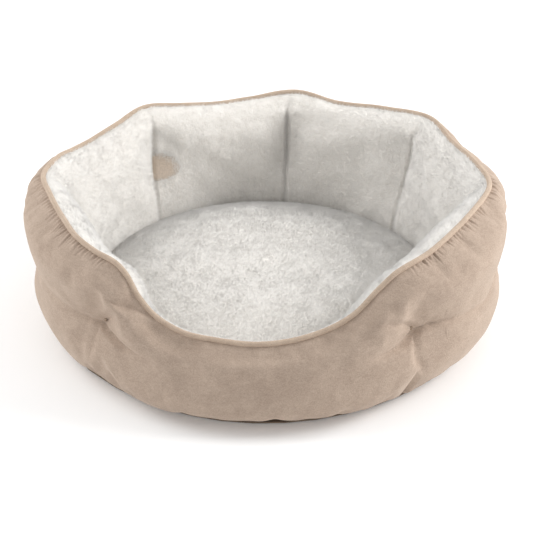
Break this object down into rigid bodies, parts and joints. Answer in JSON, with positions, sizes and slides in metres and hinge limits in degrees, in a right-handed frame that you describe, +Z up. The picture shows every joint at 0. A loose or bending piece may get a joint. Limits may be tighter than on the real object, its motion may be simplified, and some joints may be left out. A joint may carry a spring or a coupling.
{
  "type": "round pet cushion bed",
  "caption": "Round filled-wall pet bed in brushed cloth with plush lining, tied waist, piped rim, a low entrance and a lift-out seat cushion.",
  "frame": {"origin": "middle of the underside on the floor, on the axis of the round well", "axes": "+Z up, the low entrance lip faces -Y, +X to the right of someone who looks in over the lip"},
  "size_m": [0.508, 0.4964, 0.1647],
  "materials": {
    "suede": "soft brushed taupe microsuede",
    "piping": "brushed taupe microsuede, cut on the bias",
    "plush": "off-white short plush pile",
    "filling": "white polyester fibre",
    "base_cloth": "woven taupe non-slip cloth",
    "grip": "matt moulded dots",
    "cord": "twisted cotton cord",
    "thread": "polyester sewing thread"
  },
  "bodies": {
    "bed": {"base_panel": "base_cloth", "grip_dots": "grip", "floor_wadding": "filling", "floor_panel": "suede", "outer_front_panel": "suede", "outer_left_panel": "suede", "outer_right_panel": "suede", "rim_piping_cover": "piping", "rim_piping_cord": "cord", "tuft_ties": "thread", "lining_right_rear": "plush", "filling_right_rear": "filling", "lining_rear_right": "plush", "filling_rear_right": "filling", "lining_rear_left": "plush", "filling_rear_left": "filling", "lining_left_rear": "plush", "filling_left_rear": "filling", "lining_left_front": "plush", "filling_left_front": "filling", "lining_entrance": "plush", "filling_entrance": "filling", "lining_right_front": "plush", "filling_right_front": "filling"},
    "cushion": {"cushion_top_panel": "plush", "cushion_bottom_panel": "suede", "cushion_filling": "filling", "cushion_edge_seam": "thread"}
  },
  "joints": [
    {"name": "cushion_lift", "type": "slide", "parent": "bed", "child": "cushion", "axis": [0, 0, 1], "range_m": [0, 0.18]}
  ]
}
